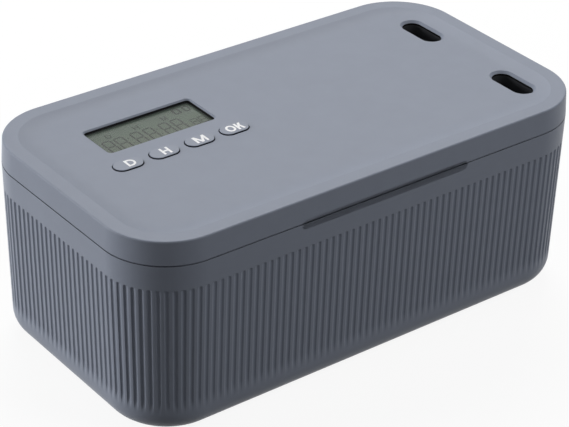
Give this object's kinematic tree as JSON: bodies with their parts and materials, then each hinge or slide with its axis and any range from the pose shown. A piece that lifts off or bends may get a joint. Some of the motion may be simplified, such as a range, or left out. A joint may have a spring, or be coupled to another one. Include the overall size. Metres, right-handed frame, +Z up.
{
  "type": "timed lock container",
  "caption": "Rectangular ribbed lock box with rounded corners, a hinged lid with a timer display and push buttons, cable slots and a motor-driven bolt.",
  "frame": {"origin": "on the plane that the feet stand on, under the middle of the overall length and depth, hinge included", "axes": "+X along the box to its right seen from the front, -Y to the front with the finger groove, +Z up"},
  "size_m": [0.2612, 0.1476, 0.1045],
  "materials": {
    "shell_plastic": "fine moulded satin, blue-grey",
    "button_plastic": "smooth satin, blue-grey",
    "inner_plastic": "fine moulded matt, charcoal",
    "clear_lens": "clear polished window",
    "lcd_glass": "grey-green reflective display",
    "white_plastic": "plain moulded white",
    "black_elastomer": "striped conductive rubber",
    "board_laminate": "green solder mask",
    "black_plastic": "moulded black",
    "bright_steel": "plated bright",
    "motor_steel": "drawn and plated",
    "gearbox_brass": "stamped plates",
    "cell_jacket": "plain foil jacket, dark grey",
    "lead_insulation": "red flexible insulation",
    "pinion_acetal": "natural white, slightly waxy",
    "foot_rubber": "matt dark rubber"
  },
  "bodies": {
    "base": {"body_shell": "shell_plastic", "rubber_feet": "foot_rubber", "strike_bracket": "bright_steel", "strike_screws": "bright_steel", "hinge_pins": "bright_steel"},
    "lid": {"lid_top": "shell_plastic", "lid_base": "inner_plastic", "lid_screws": "bright_steel", "display_lens": "clear_lens", "lcd_glass": "lcd_glass", "lcd_frame": "white_plastic", "contact_strips": "black_elastomer", "circuit_board": "board_laminate", "controller_chip": "black_plastic", "board_screws": "bright_steel", "switch_bodies": "black_plastic", "battery_cell_front": "cell_jacket", "battery_cell_middle": "cell_jacket", "battery_cell_back": "cell_jacket", "battery_contacts": "bright_steel", "battery_springs": "bright_steel", "battery_leads": "lead_insulation", "motor_can": "motor_steel", "motor_gearbox": "gearbox_brass", "motor_cradle": "inner_plastic", "cradle_screws": "bright_steel", "motor_leads": "lead_insulation", "bolt_guide": "inner_plastic", "guide_screws": "bright_steel"},
    "days_key": {"button_days": "button_plastic", "plunger_days": "black_plastic"},
    "hours_key": {"button_hours": "button_plastic", "plunger_hours": "black_plastic"},
    "minutes_key": {"button_minutes": "button_plastic", "plunger_minutes": "black_plastic"},
    "ok_key": {"button_ok": "button_plastic", "plunger_ok": "black_plastic"},
    "bolt": {"lock_bolt": "bright_steel"},
    "pinion": {"drive_pinion": "pinion_acetal", "motor_shaft": "bright_steel"},
    "battery_cover": {"battery_door": "inner_plastic", "door_screw": "bright_steel"}
  },
  "joints": [
    {"name": "lid_hinge", "type": "hinge", "parent": "base", "child": "lid", "pos_m": [0, 0.07082, 0.0924], "axis": [-1, 0, 0], "range_deg": [0, 105]},
    {"name": "days_press", "type": "slide", "parent": "lid", "child": "days_key", "axis": [0, 0, -1], "range_m": [0, 0.0008], "stiffness_N_per_m": 2000},
    {"name": "hours_press", "type": "slide", "parent": "lid", "child": "hours_key", "axis": [0, 0, -1], "range_m": [0, 0.0008], "stiffness_N_per_m": 2000},
    {"name": "minutes_press", "type": "slide", "parent": "lid", "child": "minutes_key", "axis": [0, 0, -1], "range_m": [0, 0.0008], "stiffness_N_per_m": 2000},
    {"name": "ok_press", "type": "slide", "parent": "lid", "child": "ok_key", "axis": [0, 0, -1], "range_m": [0, 0.0008], "stiffness_N_per_m": 2000},
    {"name": "bolt_slide", "type": "slide", "parent": "lid", "child": "bolt", "axis": [1, 0, 0], "range_m": [0, 0.008]},
    {"name": "pinion_turn", "type": "hinge", "parent": "lid", "child": "pinion", "pos_m": [-0.016, -0.06062, 0.09543], "axis": [0, -1, 0], "range_deg": [0, 131]},
    {"name": "battery_cover_off", "type": "slide", "parent": "lid", "child": "battery_cover", "axis": [0, 0, -1], "range_m": [0, 0.03]}
  ],
  "couplings": [
    {"joint": "pinion_turn", "follows": "bolt_slide", "rad_per_m": 285.71}
  ]
}
